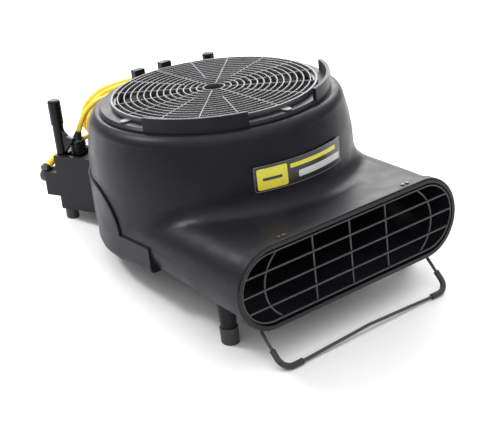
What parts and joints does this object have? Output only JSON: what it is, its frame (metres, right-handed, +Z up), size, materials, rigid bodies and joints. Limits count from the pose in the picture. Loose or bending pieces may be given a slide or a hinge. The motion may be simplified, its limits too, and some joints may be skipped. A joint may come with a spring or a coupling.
{
  "type": "car dryer blower",
  "caption": "Low round-drum floor blower with a top inlet grille, a wide flat outlet with a wire guard, cord posts, a yellow cord, a speed knob and a folding front stand.",
  "frame": {"origin": "on the floor under the middle of the blower's outline, midway between its left and right sides", "axes": "+Z up from the floor, the outlet faces -Y, +X to the right as seen from behind the outlet looking forward from the front of the blower"},
  "size_m": [0.367, 0.5672, 0.2588],
  "materials": {
    "housing": "satin moulded, fine grain",
    "grille": "satin moulded",
    "bezel": "semi-gloss black",
    "inner_plastic": "matt black",
    "guard_wire": "satin coated wire",
    "stand_wire": "satin coated wire",
    "screw_steel": "zinc plated",
    "rubber": "matt",
    "post_plastic": "satin moulded",
    "motor_metal": "plain painted",
    "motor_core": "laminated steel",
    "shaft_steel": "ground steel",
    "capacitor": "plain can",
    "switch_plastic": "matt",
    "knob": "satin",
    "gland": "satin",
    "cord": "satin yellow jacket",
    "plug": "matt moulded",
    "plug_brass": "plain",
    "badge": "printed label, black and yellow, no lettering"
  },
  "bodies": {
    "housing": {"upper_housing": "housing", "lower_housing": "housing", "inlet_grille": "grille", "outlet_bezel": "bezel", "inlet_ring": "inner_plastic", "guard_frame": "guard_wire", "guard_bars": "guard_wire", "grille_screws": "screw_steel", "bezel_screws": "screw_steel", "housing_screws": "screw_steel", "clip_screws": "screw_steel", "motor_screws": "screw_steel", "switch_nut": "screw_steel", "rear_foot_left": "rubber", "rear_foot_right": "rubber", "front_foot_left": "rubber", "front_foot_right": "rubber", "cord_post_left": "post_plastic", "cord_post_right": "post_plastic", "post_cap_left": "post_plastic", "post_cap_right": "post_plastic", "front_leg_left": "post_plastic", "front_leg_right": "post_plastic", "stand_clip_left": "post_plastic", "stand_clip_right": "post_plastic", "motor_case": "motor_metal", "motor_end_cap": "motor_metal", "motor_mount_plate": "motor_metal", "bearing_seat": "motor_metal", "capacitor_strap": "motor_metal", "motor_stator": "motor_core", "bearing_lower": "shaft_steel", "bearing_upper": "shaft_steel", "run_capacitor": "capacitor", "speed_switch": "switch_plastic", "cord_gland": "gland", "strain_relief": "cord", "power_cord": "cord", "cord_coil": "cord", "cord_tail": "cord", "plug_body": "plug", "plug_pins": "plug_brass", "badge_plate": "badge"},
    "fan": {"motor_shaft": "shaft_steel", "motor_rotor": "motor_core", "wheel_backplate": "inner_plastic", "wheel_hub": "shaft_steel", "wheel_rim": "inner_plastic", "wheel_blades": "inner_plastic", "hub_nut": "screw_steel"},
    "stand": {"stand_wire": "stand_wire", "stand_sleeve_left": "rubber", "stand_sleeve_right": "rubber"},
    "knob": {"speed_knob": "knob", "knob_spindle": "shaft_steel"}
  },
  "joints": [
    {"name": "fan_spin", "type": "hinge", "parent": "housing", "child": "fan", "pos_m": [0, 0.02947, 0.1292], "axis": [0, 0.1547, 0.988], "continuous": true},
    {"name": "stand_fold", "type": "hinge", "parent": "housing", "child": "stand", "pos_m": [0, -0.22768, 0.03839], "axis": [1, 0, 0], "range_deg": [0, 75]},
    {"name": "knob_turn", "type": "hinge", "parent": "housing", "child": "knob", "pos_m": [-0.14876, 0.25874, 0.05514], "axis": [-0.3502, 0.9254, -0.1449], "range_deg": [0, 90]}
  ]
}
